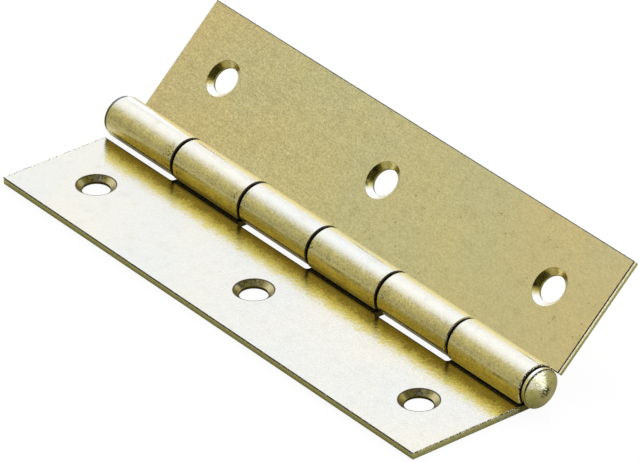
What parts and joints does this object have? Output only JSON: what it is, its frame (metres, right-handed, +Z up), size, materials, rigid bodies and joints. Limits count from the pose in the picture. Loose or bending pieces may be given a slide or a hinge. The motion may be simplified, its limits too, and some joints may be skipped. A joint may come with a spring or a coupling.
{
  "type": "butt hinge",
  "caption": "Narrow pressed butt hinge: rolled leaves on a riveted fixed pin, with a row of countersunk screw holes in each leaf.",
  "frame": {"origin": "on the back face of the front leaf, below the middle of the pin axis", "axes": "+X along the pin towards its formed head, +Y across the pin from the front leaf to the rear one, +Z up out of the front leaf's countersunk face"},
  "size_m": [0.1044, 0.0427, 0.0178],
  "materials": {
    "leaf_plating": "semi-gloss brass plating on pressed steel sheet, with fine speckle and scratches",
    "pin_plating": "semi-gloss brass plating on a cold-headed steel pin"
  },
  "bodies": {
    "fixed_side": {"front_leaf": "leaf_plating", "hinge_pin": "pin_plating"},
    "swinging_side": {"rear_leaf": "leaf_plating"}
  },
  "joints": [
    {"name": "leaf_swing", "type": "hinge", "parent": "fixed_side", "child": "swinging_side", "pos_m": [0, 0, 0.0035], "axis": [1, 0, 0], "range_deg": [-123.5, 146.5]}
  ]
}
